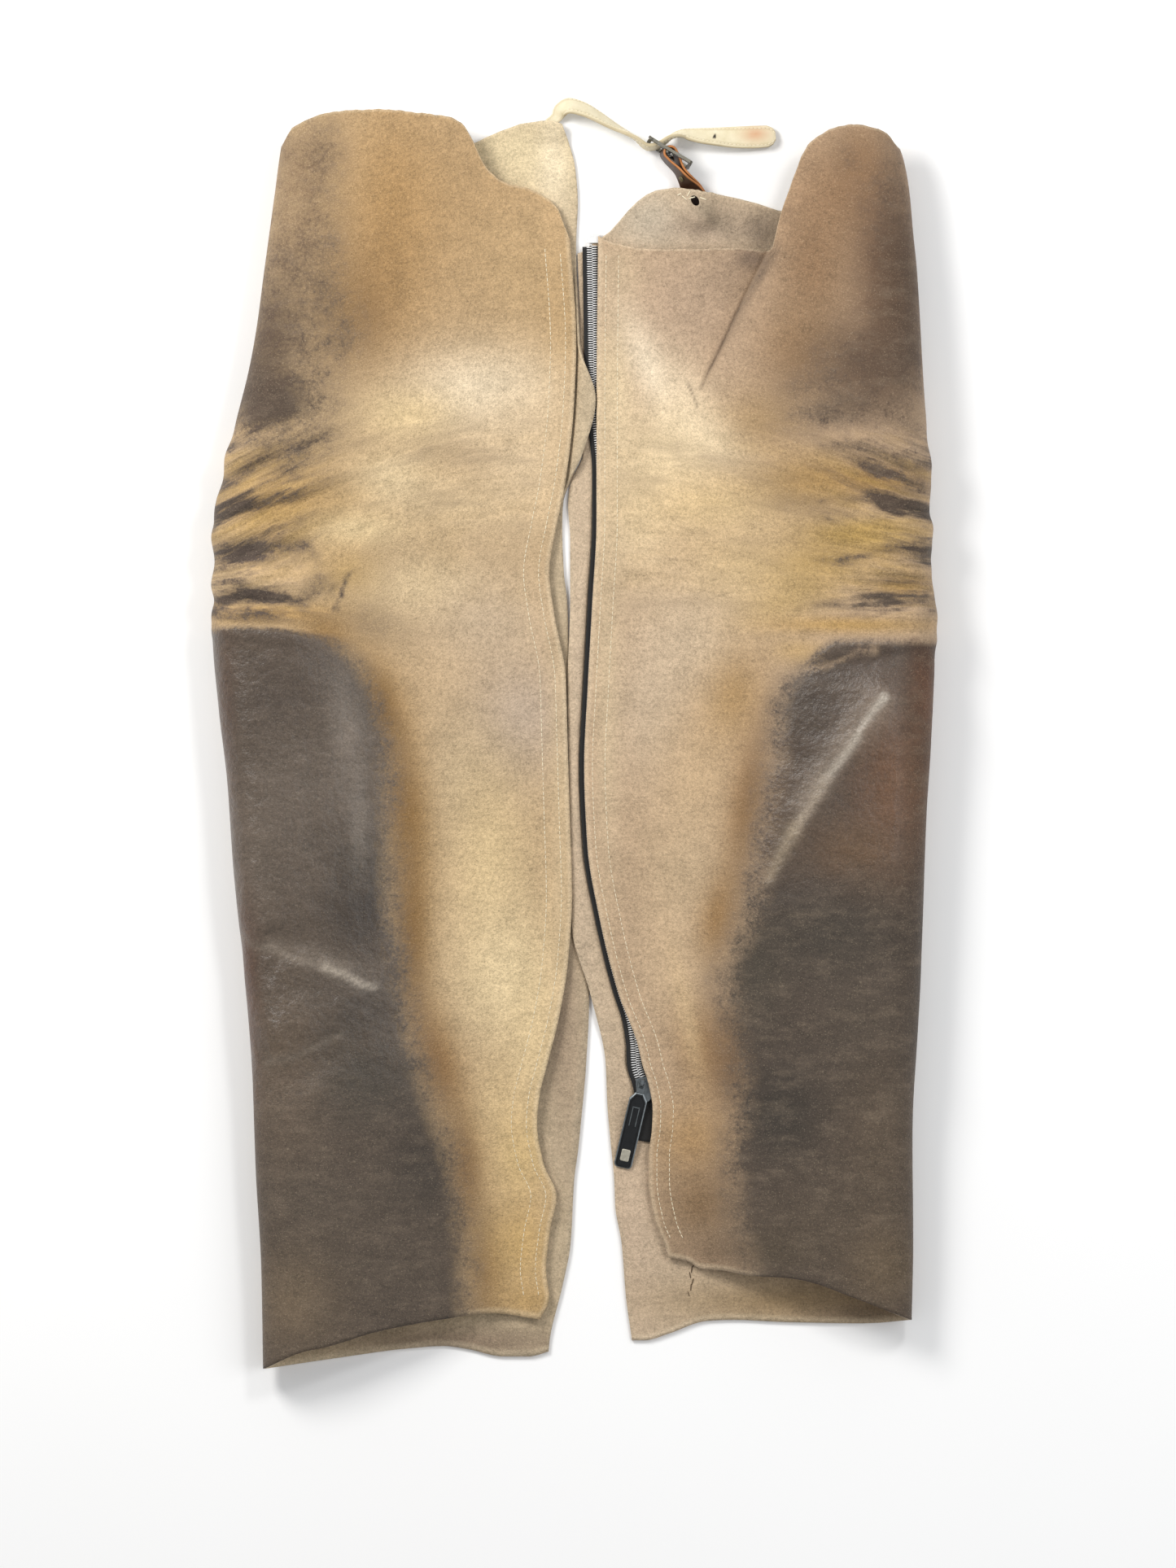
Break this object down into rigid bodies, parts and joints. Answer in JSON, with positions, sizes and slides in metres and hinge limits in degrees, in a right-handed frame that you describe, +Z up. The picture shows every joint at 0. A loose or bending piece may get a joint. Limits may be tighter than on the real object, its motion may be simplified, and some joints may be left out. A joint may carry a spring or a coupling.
{
  "type": "riding chaps",
  "caption": "Full-length leather riding chaps lying flat, the two legs zipped shut and joined at the waist by a stitched strap, a centre-bar buckle and a folded tab",
  "frame": {"origin": "middle of the footprint, on the floor that the back layers lie on", "axes": "+Y from the hems to the waist, +X across the legs from the strap's leg to the buckle's leg, +Z up from the floor"},
  "size_m": [0.58, 1.0158, 0.0543],
  "materials": {
    "suede": "rough suede, worn smooth and dark in patches",
    "strap_leather": "smooth pale leather, double stitched",
    "zip_tape": "woven black tape",
    "zip_metal": "bright stamped metal",
    "puller_metal": "dark enamel over metal",
    "buckle_metal": "worn nickel",
    "tab_leather": "dark brown grain, tan cut edges",
    "rivet_brass": "dull"
  },
  "bodies": {
    "chaps": {"left_leg_panel": "suede", "right_leg_panel": "suede", "left_zip_front_tape": "zip_tape", "left_zip_back_tape": "zip_tape", "left_zip_teeth": "zip_metal", "left_zip_slider": "zip_metal", "right_zip_front_tape": "zip_tape", "right_zip_back_tape": "zip_tape", "right_zip_teeth": "zip_metal", "right_zip_slider": "zip_metal", "right_zip_box": "zip_metal", "waist_strap": "strap_leather", "buckle_frame": "buckle_metal", "buckle_prong": "buckle_metal", "buckle_tab": "tab_leather", "tab_rivet": "rivet_brass"},
    "right_puller": {"right_zip_pull": "puller_metal"}
  },
  "joints": [
    {"name": "right_puller_hinge", "type": "hinge", "parent": "chaps", "child": "right_puller", "pos_m": [0.05414, -0.27983, 0.00998], "axis": [-0.9732, 0.23, 0], "range_deg": [0, 110]}
  ]
}
